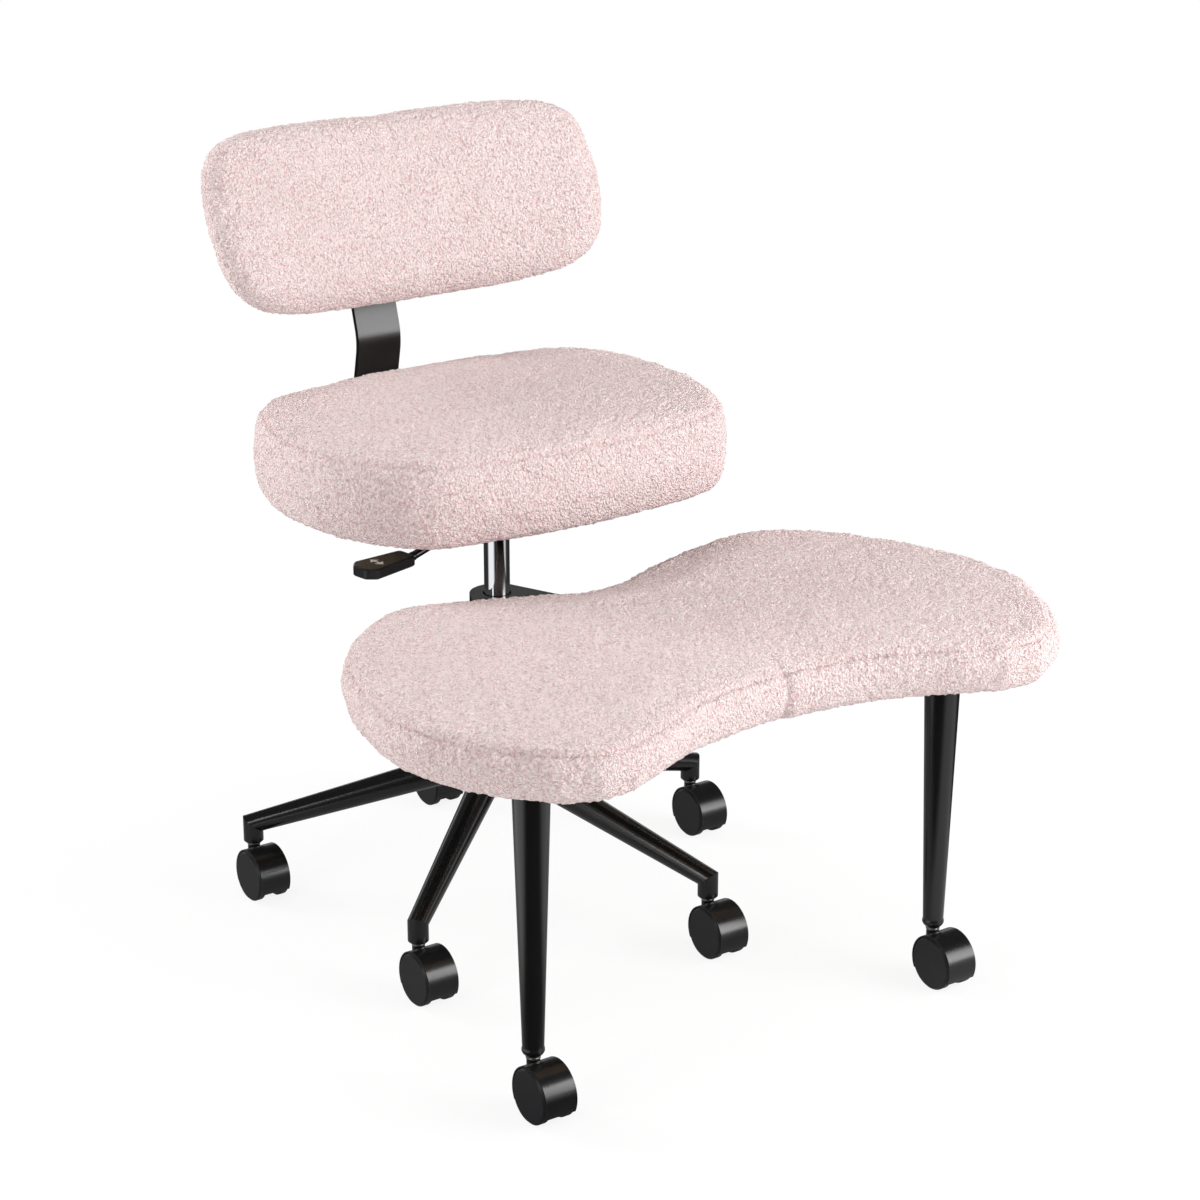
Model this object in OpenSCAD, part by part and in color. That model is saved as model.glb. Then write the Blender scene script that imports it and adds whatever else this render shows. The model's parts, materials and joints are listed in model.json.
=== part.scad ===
// Ergonomic office chair with a kidney-shaped castored footstool that swings round its column.
// Millimetres, +Z up. The chair faces -Y and the origin is on the floor under the column.

/* [Castors] */
// Diameter of a castor wheel
wheel_d = 56; // [50:1:62]
// Width of a wheel's tread
tread_w = 9.2; // [7:0.1:10]
// Width over both wheels of a castor
castor_w = 38.4; // [36:0.1:44]
// Wall of the hood over the treads
hood_wall = 1.5; // [1.2:0.1:2.5]
// Width of the hood's barrel
hood_w = 35; // [32:0.5:37]
// Height of the hood's lower edge above the floor
hood_lift = 14; // [10:0.5:16]
// Distance from the stem's axis back to the axle
castor_trail = 19.3; // [16:0.1:21]
// Diameter of the axle
axle_d = 8; // [6:0.5:9]
// Diameter of the stem
stem_d = 11; // [9:0.5:11]
// Diameter of the hood's neck
neck_d = 13.4; // [13:0.1:15]
// Height of the castor sockets' mouths above the floor
socket_z = 60; // [59:0.5:66]

/* [Base] */
// Radius of the circle of castor stems
base_r = 273; // [240:1:300]
// Turn of the star about the column
base_turn = 3.2; // [-30:0.1:30]
// Slope of the legs
leg_slope = 16.1; // [10:0.1:18]
// Height of the elbow where leg and socket meet
elbow_z = 81; // [79:0.5:90]
// Diameter of a leg at the elbow
leg_tip_d = 22; // [20:0.5:24]
// Diameter of a leg at the hub
leg_root_d = 34; // [26:0.5:34]
// Wall of the leg tubes
leg_wall = 1.6; // [1.2:0.1:3]
// Outer diameter of the hub
hub_d = 60; // [58:1:70]
// Height of the hub
hub_h = 52; // [44:1:60]

/* [Gas lift] */
// Outer diameter of the lift's outer tube
tube_d = 50; // [48:1:50]
// Wall of the outer tube
tube_wall = 2; // [1.5:0.1:3]
// Height of the outer tube's top above the floor
tube_top_z = 334.5; // [326:0.5:336]
// Diameter of the chrome cylinder
cylinder_d = 28; // [27:0.5:28]
// Wall of the chrome cylinder
cylinder_wall = 1.5; // [1:0.1:2]
// Diameter of the piston rod
rod_d = 10; // [8:0.5:12]
// Travel of the seat downwards from the pose shown
lift_down = 35; // [20:1:35]
// Travel of the seat upwards from the pose shown
lift_up = 45; // [20:1:60]
// Diameter of the release pin
release_d = 8; // [6:0.5:8]

/* [Footstool] */
// Width of the stool cushion
stool_w = 756; // [720:2:780]
// Depth of the stool cushion
stool_depth = 444; // [420:2:460]
// Distance from the column forward to the cushion's middle
stool_reach = 362; // [355:1:372]
// Height of the cushion's lower edge above the floor
stool_z = 360; // [358:0.5:362]
// Height of the cushion's side, without its crown
stool_h = 56; // [50:0.5:57]
// Rise of the crown
stool_crown = 8; // [4:0.5:9]
// Distance of the legs' axes in from the stool's ends
stool_leg_in = 128.5; // [120:0.5:150]
// Distance of the legs' axes in front of the stool's middle
stool_leg_fore = 83; // [70:1:90]
// Diameter of a stool leg at its top
stool_leg_top_d = 38; // [30:0.5:42]
// Diameter of a stool leg at its foot
stool_leg_foot_d = 21.5; // [20:0.5:24]
// Thickness of the arm plate
arm_t = 8; // [6:0.5:9]
// Thickness of the packer between the arm and the stool's board
arm_packer = 9.5; // [8:0.5:11]
// Outer diameter of the arm's collar
collar_d = 60; // [59:0.5:64]
// Hole of the arm round the chrome cylinder
arm_hole_d = 31; // [30:0.5:36]

/* [Seat] */
// Width of the seat cushion
seat_w = 505; // [480:1:520]
// Depth of the seat cushion
seat_depth = 376; // [360:2:390]
// Distance from the column back to the cushion's middle
seat_back = 5; // [0:1:8]
// Height of the cushion's lower edge above the floor
seat_z = 465; // [465:0.5:475]
// Height of the cushion's side, without its crown
seat_h = 94; // [80:1:100]
// Rise of the crown
seat_crown = 14; // [6:0.5:16]
// Thickness of the plywood boards
board_t = 12; // [10:0.5:14]
// Distance of the boards' edges inside the cushions' outlines
board_inset = 42; // [38:1:50]

/* [Mounting plate and lever] */
// Length of the steel mounting plate
plate_l = 220; // [200:2:240]
// Width of the steel mounting plate
plate_w = 150; // [140:2:154]
// Thickness of the plate and its box
plate_t = 3; // [2.5:0.1:4]
// Diameter of the lever's rod
lever_d = 9; // [8:0.5:10]
// Length of the lever's paddle
paddle_l = 74; // [60:1:76]
// Thickness of the paddle
paddle_t = 11.5; // [10:0.5:12]
// Width of the paddle at its outer end
paddle_w = 37; // [30:0.5:40]

/* [Backrest] */
// Width of the back bar
bar_w = 54; // [44:1:60]
// Thickness of the back bar
bar_t = 6; // [5:0.5:8]
// How far behind the column the bar's knee stands
knee_y = 236.6; // [232:0.2:245]
// Height of the knee above the floor
knee_z = 576; // [565:1:590]
// Lean of the bar below the knee
bar_lean = 12; // [6:0.5:14]
// Lean of the bar above the knee
bar_top_lean = 16; // [10:0.5:20]
// Lean of the backrest
back_lean = 25.5; // [20:0.5:28]
// Distance from the knee's bend up the bar to the backrest's bracket
back_rise = 119; // [110:0.5:150]
// Distance of the backrest in front of the bar
bracket_h = 37.5; // [30:0.5:50]
// Width of the backrest cushion
back_w = 474; // [440:2:500]
// Height of the backrest cushion
back_h = 218; // [200:2:230]
// Thickness of the backrest cushion, without its crown
back_t = 60; // [56:0.5:80]
// Rise of the backrest's crown
back_crown = 5; // [3:0.5:10]
// Radius of the backrest's curve round the sitter
back_curve_r = 700; // [600:10:1400]
// Thickness of the back board
back_board_t = 10; // [8:0.5:12]

/* [Hidden] */
castors = 7;
base_castors = 5;
hand_fit = 0.3;
running_fit = 0.05;
seat_fit = 0.02;
board_proud = 2;
over = 1;
fine = 96;
soft = 32;

// Castor places, worked from the stem's axis and the floor
wheel_r = wheel_d / 2;
hood_gap = 0.7;
hood_in_r = wheel_r + hood_gap;
hood_r = hood_in_r + hood_wall;
web_gap = 0.8;
web_w = castor_w - 2 * (tread_w + web_gap);
wheel_bevel = 2;
wheel_rim = 5;
wheel_cup = 4.4;
wheel_skin = 2.4;
wheel_boss_wall = 4;
wheel_boss_r = axle_d / 2 + wheel_boss_wall;
axle_l = castor_w - 2 * wheel_skin - 2 * hand_fit;
collar_h = 3;
stem_lip = 0.6;
stem_collar_d = neck_d + 2 * stem_lip;
neck_top = socket_z - collar_h - hand_fit;
stem_clear = 3;
stem_bottom = wheel_r + stem_clear;
stem_in = 20;
groove_h = 1;
groove_in = 0.6;
pocket_wall = 2.5;
pocket_r = hood_in_r - pocket_wall;
pocket_w = web_w - 2 * pocket_wall;
rib_t = 2;

// Star base
leg_step = 360 / base_castors;
leg_drop = tan(leg_slope);
leg_run = (base_r - hub_d / 2) / cos(leg_slope);
leg_taper = (leg_root_d - leg_tip_d) / 2 / leg_run;
leg_tail = leg_tip_d;
leg_head = hub_d / 4;
mitre_a = (90 - leg_slope) / 2;
mitre_box = 4 * leg_tip_d;
hub_mid_z = elbow_z + (base_r - hub_d / 2) * leg_drop;
hub_z = hub_mid_z - hub_h / 2 + over;
mouth_chamfer = 1.2;

// Gas lift
tube_r = tube_d / 2;
tube_in_r = tube_r - tube_wall;
tube_foot = 4;
tube_z = hub_z - tube_foot;
floor_t = 4;
floor_in = 5;
floor_z = tube_z + floor_in;
cyl_r = cylinder_d / 2;
cyl_in_r = cyl_r - cylinder_wall;
rod_r = rod_d / 2;
bearing_h = 4;
bearing_r = 11;
race_r = 8;
race_ball_r = 1.4;
rod_tail = 4;
rod_z = floor_z - rod_tail;
shoulder_z = floor_z + floor_t + bearing_h + hand_fit;
shoulder_h = 3;
shoulder_r = 8.5;
lift_spare = 3;
cyl_z = shoulder_z + shoulder_h + lift_down + lift_spare;
cyl_end_t = 8;
piston_h = 12;
piston_gap = 48;
piston_z = cyl_z + lift_up + cyl_end_t + piston_gap;
piston_fit = 0.1;
clip_t = 1.2;
clip_r = 9;
clip_groove = 0.8;
bush_h = 80;
bush_lip = 3;
bush_z = tube_top_z - bush_h;
cap_skirt = 22;
collar_wall = 2;
cap_t = collar_d / 2 - collar_wall - tube_r - 2 * running_fit;
cap_r = tube_r + running_fit + cap_t;

// Levels from the stool's arm up to the seat's plate
stool_board_z = stool_z - board_proud;
arm_top = stool_board_z - arm_packer;
arm_z = arm_top - arm_t;
cap_top = arm_z - hand_fit;
seat_board_z = seat_z - board_proud;
plate_top = seat_board_z;
plate_z = plate_top - plate_t;
box_l = 88;
box_w = 66;
box_h = 30;
box_z = plate_z - box_h;
taper_gap = 14;
cyl_top = plate_z - taper_gap;
taper_h = 32;
taper_in = 0.8;
taper_r = cyl_r - taper_in;
socket_wall = 3.5;
socket_r = cyl_r + socket_wall;
taper_z = cyl_top - taper_h;
release_r = release_d / 2;
release_stroke = 4;
release_len = 14;
release_top = cyl_top + release_stroke;
release_bore_z = release_top - release_len - release_stroke - over;

// Cushion edges and roundings
stool_mid = [0, -stool_reach];
seat_mid = [0, seat_back];
edge_top = 17;
edge_low = 22;
seat_edge_top = 18;
seat_edge_low = 17;
side_draw = 3;
lip_fit = hand_fit;
back_edge = 24;
back_edge_low = 30;

// Outlines as shares of half the width and half the depth, right half from the back to the front
stool_shares = [
    [0, 0.77], [0.17, 0.905], [0.48, 1.065], [0.7, 0.955], [0.92, 0.55], [1.02, -0.07],
    [0.99, -0.52], [0.7, -1.18], [0.34, -0.76], [0.11, -0.7], [0, -0.66]
];
seat_shares = [
    [0, 1.03], [0.46, 0.96], [0.76, 0.84], [0.93, 0.62], [1.04, -0.04],
    [0.91, -0.6], [0.74, -0.9], [0.5, -0.95], [0, -1.04]
];
back_shares = [
    [0, 1.01], [0.46, 1.0], [0.77, 0.92], [1.0, 0.72], [1.03, -0.04],
    [0.98, -0.82], [0.72, -0.98], [0.42, -1.0], [0, -1.0]
];
// Crown rings as shares of the top's size, and the rings of a curved recess
crown_shares = [0.84, 0.62, 0.34];
recess_shares = [1 / 3, 2 / 3];

// Places along a length, as shares of it: the arm's front and its screws back from the stool's
// middle to its rear edge, and the bar's bolts from its end to the seat board's rear edge
arm_front_share = 0.252;
arm_screw_shares = [0.5586, 0.3243];
bar_bolt_shares = [0.235, 0.735];

// Footstool's arm, legs and screws
stool_leg_gap = stool_w - 2 * stool_leg_in;
stool_leg_y = stool_reach + stool_leg_fore;
arm_flare = 27.3;
arm_front = stool_reach - arm_front_share * stool_depth / 2;
arm_half_w = 105;
arm_mid = 165;
packer_l = 84;
arm_screw_x = 80;
arm_screw_y = [for (s = arm_screw_shares) stool_reach - s * stool_depth / 2];
leg_plate_w = 84;
leg_plate_t = 4;
leg_plate_corner = 8;
leg_screw_at = 32;
leg_top_z = stool_board_z - leg_plate_t;
foot_h = 9;
foot_bulge = 0.6;
foot_mouth_r = 8;
screw_d = 5;
screw_head_d = 10;
screw_head_h = 3;
screw_in = 8;

// Seat plate, bolts and lever
plate_corner = 14;
plate_bolt = [88, 55];
bolt_d = 6;
bolt_head_d = 11.5;
bolt_head_h = 4;
bolt_in = 9;
pivot_drop = 11;
pivot = [-24, -16.5, plate_z - pivot_drop];
pivot_d = 5;
ear_t = 3;
ear_r = 7;
ear_gap = 12;
pivot_head = 1.5;
finger_t = 4.5;
finger_w = 10;
finger_past = 6;
finger_z = release_top + hand_fit;
knee_drop = 35;
lever_knee = [-128, -38, plate_z - knee_drop];
lever_turn = 11;
knee_swell = 1;
paddle_root_w = 27;
paddle_start = 6;
paddle_corner = 6;
paddle_chamfer = 1.6;
wall_slot_w = 14;
wall_slot_h = 17;

// Back bar
bar_z = plate_top - bar_t / 2;
bar_gap = 6;
bar_start = plate_w / 2 + bar_gap;
board_back = seat_back + seat_depth / 2 - board_inset;
bar_bolt_y = [for (s = bar_bolt_shares) bar_start + s * (board_back - bar_start)];
bend_r = 28;
knee_r = 63;
knee_front_r = knee_r + bar_t / 2;
knee_centre = [knee_y + knee_front_r, knee_z];
bend_a = 90 + bar_lean;
knee_a = bar_lean + bar_top_lean;
bar_corner_y = knee_centre[0] - knee_r * cos(bar_lean)
    + (knee_centre[1] - knee_r * sin(bar_lean) - bar_z) * tan(bar_lean);
bend_steps = 24;
bar_bend_at = [bar_corner_y - bend_r * tan(bend_a / 2), bar_z];
bar_knee_at = knee_centre - knee_r * [cos(bar_lean), sin(bar_lean)];
bar_over = 50;
bar_up = [sin(bar_top_lean), cos(bar_top_lean)];
bar_rear = [cos(bar_top_lean), -sin(bar_top_lean)];
bar_mark = knee_centre - knee_front_r * bar_rear + back_rise * bar_up;
bar_end_at = bar_mark + bar_over * bar_up + bar_t / 2 * bar_rear;
bar_bolt_d = 8;
bar_bolt_head_d = 13;
bar_bolt_head_h = 5;
bar_end_r = 8;

// Backrest's welded bracket: two cheeks on the bar and a plate for the board's bolts
back_origin = bar_mark - bracket_h * bar_rear;
back_up = [sin(back_lean), cos(back_lean)];
back_rear = [cos(back_lean), -sin(back_lean)];
cheek_t = 4;
cheek_half = 36;
weld_in = 1.5;
mount_size = [92, 104];
mount_t = 5;
mount_corner = 12;
back_bolt_at = [36, 38];
back_bolt_in = 8.5;

steel_black = [0.07, 0.07, 0.075];
plastic_black = [0.1, 0.1, 0.11];
wheel_grey = [0.16, 0.16, 0.17];
chrome = [0.8, 0.81, 0.83];
zinc = [0.6, 0.6, 0.58];
brass_tan = [0.72, 0.6, 0.35];
pom_white = [0.85, 0.85, 0.82];
plywood = [0.76, 0.6, 0.42];
boucle_pink = [0.93, 0.8, 0.79];

// Places of the castor stems: five round the base, then the stool's left and right
function stem_place(i) = i < base_castors
    ? [base_r * cos(base_turn + leg_step * i), base_r * sin(base_turn + leg_step * i)]
    : [(i == base_castors ? -1 : 1) * stool_leg_gap / 2, -stool_leg_y];

// A closed cubic B-spline through the mirrored half outline, in real sizes
function mirrored(half) = concat(half, [
    for (i = [len(half) - 2:-1:1]) [-half[i][0], half[i][1]]
]);
function blend(a, b, c, d, t) = (pow(1 - t, 3) * a + (3 * pow(t, 3) - 6 * t * t + 4) * b
    + (-3 * pow(t, 3) + 3 * t * t + 3 * t + 1) * c + pow(t, 3) * d) / 6;
function outline(half, size, steps) = let (ring = mirrored(half), n = len(ring)) [
    for (i = [0:n - 1], k = [0:steps - 1])
        let (p = blend(ring[(i + n - 1) % n], ring[i], ring[(i + 1) % n], ring[(i + 2) % n], k / steps))
            [p[0] * size[0] / 2, p[1] * size[1] / 2]
];
// The outline moved inwards by a distance; it runs clockwise seen from above
function inset_ring(ring, d) = let (n = len(ring)) [
    for (i = [0:n - 1])
        let (a = ring[(i + n - 1) % n], b = ring[(i + 1) % n], l = norm(b - a))
            ring[i] + d * [b[1] - a[1], a[0] - b[0]] / l
];
// Stations are [inset, height, scale]; one ring of points for each
function station_ring(ring, s) = [for (p = inset_ring(ring, s[0])) [p[0] * s[2], p[1] * s[2], s[1]]];
function loft_points(ring, stations) = concat(
    [for (s = stations) each station_ring(ring, s)],
    [[0, 0, stations[0][1]], [0, 0, stations[len(stations) - 1][1]]]
);
function loft_faces(n, rings) = concat(
    [for (r = [0:rings - 2], i = [0:n - 1]) let (j = (i + 1) % n)
        each [[r * n + i, r * n + j, (r + 1) * n + i], [r * n + j, (r + 1) * n + j, (r + 1) * n + i]]],
    [for (i = [0:n - 1]) [rings * n, (i + 1) % n, i]],
    [for (i = [0:n - 1]) [rings * n + 1, (rings - 1) * n + i, (rings - 1) * n + (i + 1) % n]]
);
function arc_in(r, t) = r * (1 - sin(t));
function arc_up(r, t) = r * (1 - cos(t));
// Side of a cushion with rounded edges, drawn in above and below its middle
function side_stations(z, h, low, top, draw) = concat(
    [for (t = [0:30:90]) [arc_in(low, t) + draw, z + arc_up(low, t), 1]],
    [[0, z + (low + h - top) / 2, 1]],
    [for (t = [90:-22.5:0]) [arc_in(top, t) + draw, z + h - arc_up(top, t), 1]]
);
function crown_stations(z, inset, rise) = [
    for (s = crown_shares) [inset, z + rise * (1 - s * s), s]
];
function pad_stations(z, h, ceiling, low, top, draw, rise) = concat(
    [[board_inset - lip_fit, ceiling, 1], [board_inset - lip_fit, z, 1]],
    side_stations(z, h, low, top, draw),
    crown_stations(z + h, top + draw, rise)
);
function bent(p, r) = [p[0], p[1], r - sqrt(r * r - p[0] * p[0]) + p[2]];

stool_ring = outline(stool_shares, [stool_w, stool_depth], 3);
seat_ring = outline(seat_shares, [seat_w, seat_depth], 4);
back_ring = outline(back_shares, [back_w, back_h], 4);

module at_castor(i) {
    translate([stem_place(i)[0], stem_place(i)[1], 0]) children();
}
module at_axle() {
    translate([0, -castor_trail, wheel_r]) rotate([0, 90, 0]) children();
}
module at_leg(i) {
    rotate([0, 0, base_turn + leg_step * i]) children();
}
module at_back() {
    translate([0, back_origin[0], back_origin[1]]) rotate([90 - back_lean, 0, 0]) children();
}
module at_bar_top() {
    translate([0, bar_mark[0], bar_mark[1]]) rotate([90 - bar_top_lean, 0, 0]) children();
}
module rounded_plate(size, corner, t) {
    flat = [size[0] / 2 - corner, size[1] / 2 - corner];
    linear_extrude(height = t) union() {
        square([size[0], size[1] - 2 * corner], center = true);
        square([size[0] - 2 * corner, size[1]], center = true);
        for (x = [-flat[0], flat[0]], y = [-flat[1], flat[1]]) translate([x, y]) circle(r = corner, $fn = soft);
    }
}
module pad(ring, stations) {
    polyhedron(points = loft_points(ring, stations), faces = loft_faces(len(ring), len(stations)), convexity = 4);
}

// Hooded twin-wheel castor
module castor_hood() {
    color(plastic_black) difference() {
        union() {
            at_axle() cylinder(h = hood_w, r = hood_r, center = true, $fn = fine);
            translate([0, 0, wheel_r]) cylinder(h = neck_top - wheel_r, d = neck_d, $fn = soft);
        }
        for (side = [-1, 1]) at_axle() translate([0, 0, side * (web_w + hood_w) / 2])
            cylinder(h = hood_w, r = hood_in_r, center = true, $fn = fine);
        translate([0, -castor_trail, hood_lift - wheel_r]) cube([2 * hood_w, 3 * hood_r, 2 * wheel_r], center = true);
        translate([0, 0, stem_bottom - hand_fit])
            cylinder(h = socket_z, d = stem_d + 2 * running_fit, $fn = soft);
        at_axle() cylinder(h = castor_w, d = axle_d + 2 * seat_fit, center = true, $fn = soft);
        hood_pocket();
    }
}
// Open pocket behind the axle, split by a rib
module hood_pocket() {
    for (side = [-1, 1]) intersection() {
        at_axle() translate([0, 0, side * (pocket_w + rib_t) / 4])
            cylinder(h = (pocket_w - rib_t) / 2, r = pocket_r, center = true, $fn = fine);
        translate([-hood_w / 2, -castor_trail - hood_r, 0])
            cube([hood_w, hood_r - axle_d, wheel_r + axle_d]);
    }
}
module castor_axle() {
    color(zinc) at_axle() cylinder(h = axle_l, d = axle_d, center = true, $fn = soft);
}
// Wheel with a flat bevelled outer face and a cupped inner face; side is -1 left, 1 right
module castor_wheel(side) {
    inner = castor_w / 2 - tread_w;
    outer = castor_w / 2;
    cup = inner + wheel_cup;
    bore_r = axle_d / 2 + running_fit;
    color(wheel_grey) at_axle() rotate([side > 0 ? 0 : 180, 0, 0]) rotate_extrude($fn = fine) polygon([
        [bore_r, inner], [wheel_boss_r, inner], [wheel_boss_r, cup], [wheel_r - wheel_rim, cup],
        [wheel_r - wheel_rim, inner], [wheel_r - wheel_bevel / 2, inner], [wheel_r, inner + wheel_bevel / 2],
        [wheel_r, outer - wheel_bevel], [wheel_r - wheel_bevel, outer], [0, outer],
        [0, outer - wheel_skin], [bore_r, outer - wheel_skin]
    ]);
}
// Stem with its collar and ring grooves, pressed in a socket
module castor_stem() {
    translate([0, 0, stem_bottom]) cylinder(h = socket_z + stem_in - stem_bottom, d = stem_d, $fn = soft);
    difference() {
        translate([0, 0, socket_z - collar_h]) cylinder(h = collar_h, d = stem_collar_d, $fn = soft);
        translate([0, 0, socket_z - collar_h + groove_h]) difference() {
            cylinder(h = groove_h, d = 2 * stem_collar_d, $fn = soft);
            cylinder(h = groove_h, d = stem_collar_d - 2 * groove_in, $fn = soft);
        }
    }
}
module stem_bore() {
    translate([0, 0, socket_z - over])
        cylinder(h = stem_in + hand_fit + over, d = stem_d + 2 * seat_fit, $fn = soft);
}
module base_castor_stems() {
    color(zinc) for (i = [0:base_castors - 1]) at_castor(i) castor_stem();
}
module stool_castor_stems() {
    color(zinc) for (i = [base_castors:castors - 1]) at_castor(i) castor_stem();
}

// Star base: a hub tube with five tapered legs, each mitred to an upright socket
module base_hub() {
    color(steel_black) difference() {
        translate([0, 0, hub_z]) cylinder(h = hub_h, d = hub_d, $fn = fine);
        translate([0, 0, hub_z - over]) cylinder(h = hub_h + 2 * over, d = tube_d + 2 * seat_fit, $fn = fine);
    }
}
// Above or below the plane that halves the angle at the elbow
module mitre_half(side) {
    translate([base_r, 0, elbow_z]) rotate([0, -mitre_a, 0]) translate([0, 0, side * mitre_box / 2])
        cube(mitre_box, center = true);
}
module leg_taper_form(wall) {
    start = -leg_tail;
    end = leg_run + leg_head;
    translate([base_r, 0, elbow_z]) rotate([0, leg_slope - 90, 0]) translate([0, 0, start])
        cylinder(h = end - start, r1 = leg_tip_d / 2 + start * leg_taper - wall,
            r2 = leg_tip_d / 2 + end * leg_taper - wall, $fn = fine);
}
module base_leg() {
    difference() {
        union() {
            difference() {
                leg_taper_form(0);
                mitre_half(-1);
            }
            difference() {
                translate([base_r, 0, socket_z]) {
                    cylinder(h = mouth_chamfer, d1 = leg_tip_d - 2 * mouth_chamfer, d2 = leg_tip_d, $fn = fine);
                    translate([0, 0, mouth_chamfer])
                        cylinder(h = elbow_z - socket_z + leg_tip_d, d = leg_tip_d, $fn = fine);
                }
                mitre_half(1);
            }
        }
        cylinder(h = hub_mid_z + hub_h, r = hub_d / 2 + seat_fit, $fn = fine);
        intersection() {
            leg_taper_form(leg_wall);
            translate([0, -hub_d, elbow_z])
                cube([base_r - leg_tip_d / 2 - stem_d / 2, 2 * hub_d, hub_mid_z]);
        }
        translate([base_r, 0, 0]) stem_bore();
    }
}
module base_legs() {
    color(steel_black) for (i = [0:base_castors - 1]) at_leg(i) base_leg();
}

// Gas lift
module lift_tube() {
    color(steel_black) difference() {
        translate([0, 0, tube_z]) cylinder(h = tube_top_z - tube_z, r = tube_r, $fn = fine);
        translate([0, 0, floor_z + floor_t]) cylinder(h = tube_top_z, r = tube_in_r, $fn = fine);
        translate([0, 0, tube_z - over]) cylinder(h = floor_z - tube_z + over, r = tube_in_r, $fn = fine);
        translate([0, 0, tube_z]) cylinder(h = tube_top_z, r = rod_r + running_fit, $fn = soft);
    }
}
module lift_bush() {
    color(pom_white) difference() {
        translate([0, 0, bush_z]) cylinder(h = bush_h, r = tube_in_r - seat_fit, $fn = fine);
        translate([0, 0, bush_z - over]) cylinder(h = bush_h + 2 * over, r = cyl_r + running_fit, $fn = fine);
        translate([0, 0, bush_z + bush_h / 4]) cylinder(h = bush_h / 2, r = cyl_r + bush_lip, $fn = fine);
    }
}
module thrust_bearing() {
    color(zinc) translate([0, 0, floor_z + floor_t]) difference() {
        cylinder(h = bearing_h, r = bearing_r, $fn = fine);
        translate([0, 0, -over]) cylinder(h = bearing_h + 2 * over, r = rod_r + running_fit, $fn = soft);
        translate([0, 0, bearing_h / 2]) rotate_extrude($fn = fine) translate([bearing_r, 0])
            circle(r = race_ball_r, $fn = soft);
    }
}
// Cap bush on the tube's top; the stool's collar turns on it
module arm_bush() {
    color(plastic_black) difference() {
        translate([0, 0, tube_top_z - cap_skirt]) cylinder(h = cap_top - tube_top_z + cap_skirt, r = cap_r, $fn = fine);
        translate([0, 0, tube_top_z - cap_skirt - over])
            cylinder(h = cap_skirt + over, r = tube_r + seat_fit, $fn = fine);
        translate([0, 0, tube_top_z - over]) cylinder(h = cap_top, d = arm_hole_d, $fn = fine);
    }
}
module lift_rod() {
    color(zinc) difference() {
        union() {
            translate([0, 0, rod_z]) cylinder(h = piston_z - rod_z, r = rod_r, $fn = soft);
            translate([0, 0, shoulder_z]) cylinder(h = shoulder_h, r = shoulder_r, $fn = soft);
            translate([0, 0, piston_z]) cylinder(h = piston_h, r = cyl_in_r - piston_fit, $fn = fine);
        }
        translate([0, 0, floor_z - hand_fit - clip_t]) difference() {
            cylinder(h = clip_t, r = clip_r, $fn = soft);
            cylinder(h = clip_t, r = rod_r - clip_groove, $fn = soft);
        }
    }
}
module lift_clip() {
    color(zinc) translate([0, 0, floor_z - hand_fit - clip_t]) difference() {
        cylinder(h = clip_t, r = clip_r, $fn = soft);
        translate([0, 0, -over]) cylinder(h = clip_t + 2 * over, r = rod_r - clip_groove + seat_fit, $fn = soft);
        translate([0, clip_r / 2 + rod_r / 2, clip_t / 2]) cube([rod_r, clip_r, 2 * clip_t], center = true);
    }
}
module lift_cylinder() {
    color(chrome) difference() {
        union() {
            translate([0, 0, cyl_z]) cylinder(h = taper_z - cyl_z, r = cyl_r, $fn = fine);
            translate([0, 0, taper_z]) cylinder(h = taper_h, r1 = cyl_r, r2 = taper_r, $fn = fine);
        }
        translate([0, 0, cyl_z - over]) cylinder(h = cyl_end_t + 2 * over, r = rod_r + running_fit, $fn = soft);
        translate([0, 0, cyl_z + cyl_end_t])
            cylinder(h = release_bore_z - cyl_z - 2 * cyl_end_t, r = cyl_in_r, $fn = fine);
        translate([0, 0, release_bore_z]) cylinder(h = cyl_top, r = release_r + running_fit, $fn = soft);
    }
}
module release_pin() {
    color(zinc) translate([0, 0, release_top - release_len]) cylinder(h = release_len, r = release_r, $fn = soft);
}

// Footstool: arm with a collar round the column
module arm_plate_form() {
    side = [cos(arm_flare), sin(arm_flare)] * collar_d / 2;
    knee_x = side[0] + (arm_mid + side[1]) * tan(arm_flare);
    circle(r = collar_d / 2, $fn = fine);
    polygon([
        side, [min(knee_x, arm_half_w), -arm_mid], [arm_half_w, -arm_mid - arm_t], [arm_half_w, -arm_front],
        [-arm_half_w, -arm_front], [-arm_half_w, -arm_mid - arm_t], [-min(knee_x, arm_half_w), -arm_mid],
        [-side[0], side[1]]
    ]);
}
module stool_arm() {
    color(steel_black) difference() {
        union() {
            translate([0, 0, arm_z]) linear_extrude(height = arm_t) arm_plate_form();
            translate([-arm_half_w, -arm_front, arm_z]) cube([2 * arm_half_w, packer_l, arm_t + arm_packer]);
            translate([0, 0, tube_top_z - cap_skirt])
                cylinder(h = arm_z + over - tube_top_z + cap_skirt, d = collar_d, $fn = fine);
        }
        translate([0, 0, tube_top_z - cap_skirt - over])
            cylinder(h = arm_z - tube_top_z + cap_skirt + over, r = cap_r + running_fit, $fn = fine);
        translate([0, 0, arm_z - over]) cylinder(h = arm_t + 2 * over, d = arm_hole_d, $fn = fine);
        at_arm_screws() translate([0, 0, -over])
            cylinder(h = arm_t + arm_packer + 2 * over, d = screw_d + running_fit, $fn = soft);
    }
}
module at_arm_screws() {
    for (x = [-arm_screw_x, arm_screw_x], y = arm_screw_y) translate([x, -y, arm_z]) children();
}
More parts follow.
